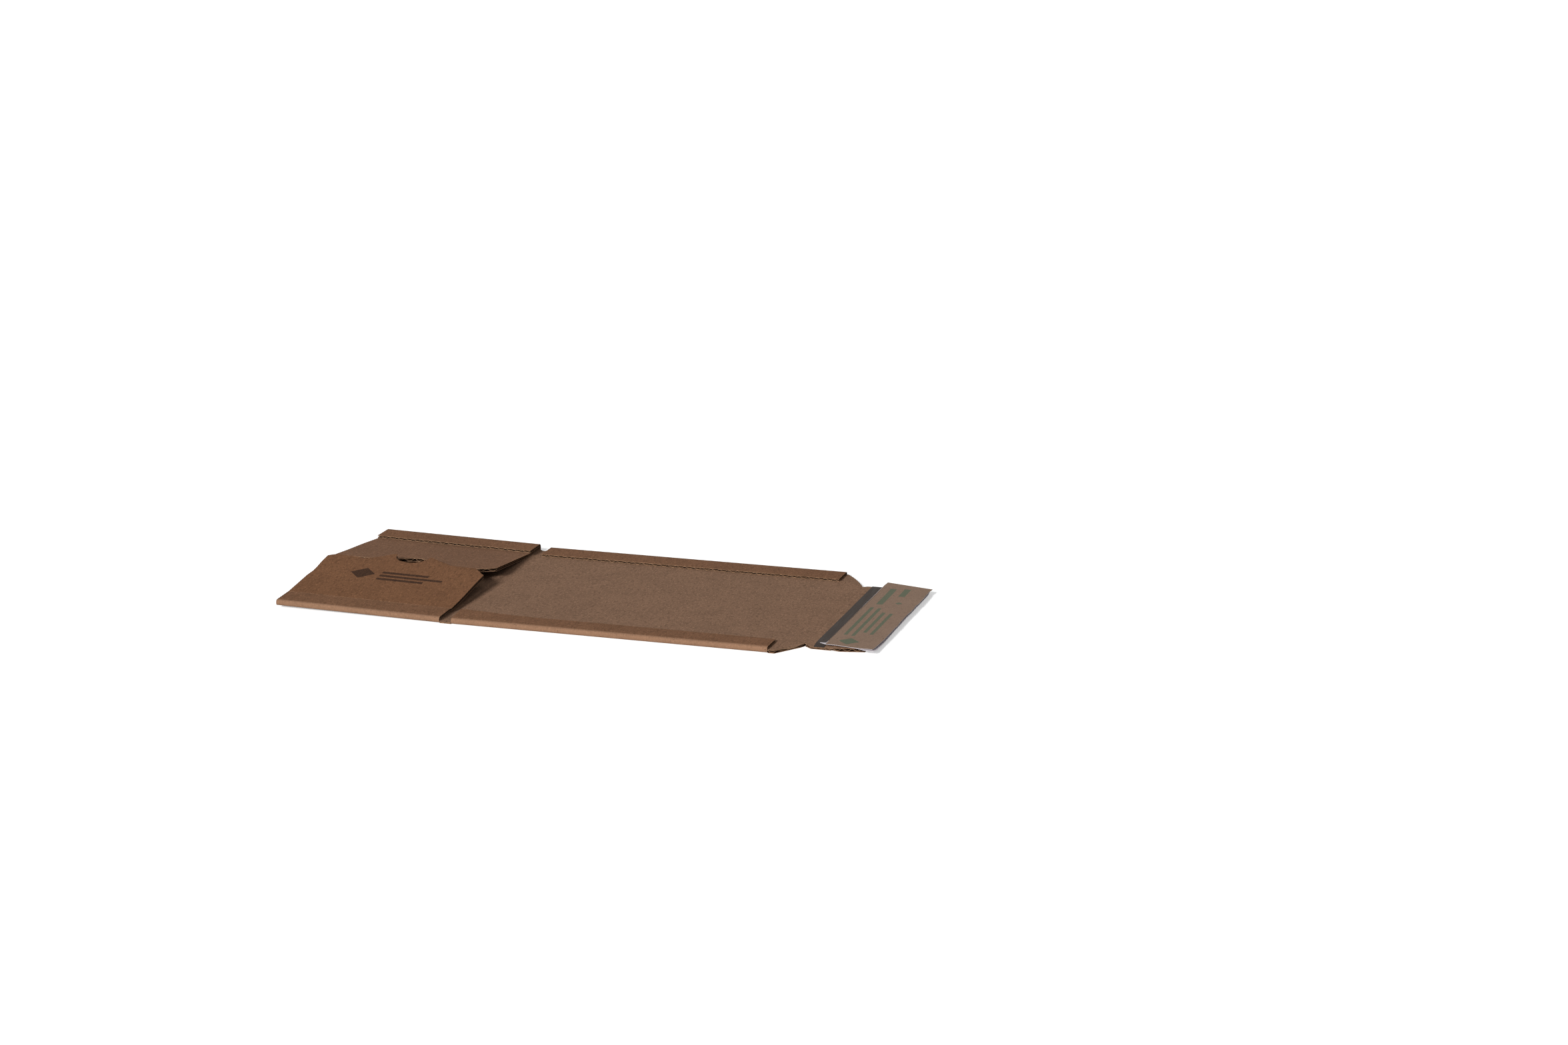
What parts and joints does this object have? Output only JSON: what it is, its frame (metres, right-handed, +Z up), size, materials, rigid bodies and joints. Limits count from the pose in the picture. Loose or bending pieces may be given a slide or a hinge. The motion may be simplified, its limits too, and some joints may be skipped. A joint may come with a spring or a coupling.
{
  "type": "wraparound mailer",
  "caption": "Corrugated wraparound mailer lying open, with a flapped pocket, folded edges, and a closing flap with tear strip and covered adhesive.",
  "frame": {"origin": "middle of the footprint, at the level of the table", "axes": "+X along the board from the pocket to the closing flap, +Y across it from the near edge to the far edge, +Z up"},
  "size_m": [0.4135, 0.187, 0.0154],
  "materials": {
    "outer_kraft": "matte",
    "inner_kraft": "matte",
    "tear_tape": "satin",
    "hot_melt": "satin",
    "liner_paper": "satin"
  },
  "bodies": {
    "pocket": {"pocket_base": "outer_kraft", "far_flap": "outer_kraft"},
    "near_flap": {"near_flap": "outer_kraft"},
    "wrap": {"wrap_panel": "inner_kraft"},
    "closing": {"closing_flap": "inner_kraft", "tear_strip": "tear_tape", "adhesive_strip": "hot_melt", "release_liner": "liner_paper"}
  },
  "joints": [
    {"name": "near_flap_hinge", "type": "hinge", "parent": "pocket", "child": "near_flap", "pos_m": [-0.14766, -0.074, 0.00583], "axis": [0.9999, 0, -0.0164], "range_deg": [0, 150]},
    {"name": "wrap_hinge", "type": "hinge", "parent": "pocket", "child": "wrap", "pos_m": [-0.0845, 0, 0.0022], "axis": [0, -1, 0], "range_deg": [0, 90]},
    {"name": "closing_flap_hinge", "type": "hinge", "parent": "wrap", "child": "closing", "pos_m": [0.15775, 0, 0.0025], "axis": [0, -1, 0], "range_deg": [0, 90]}
  ]
}
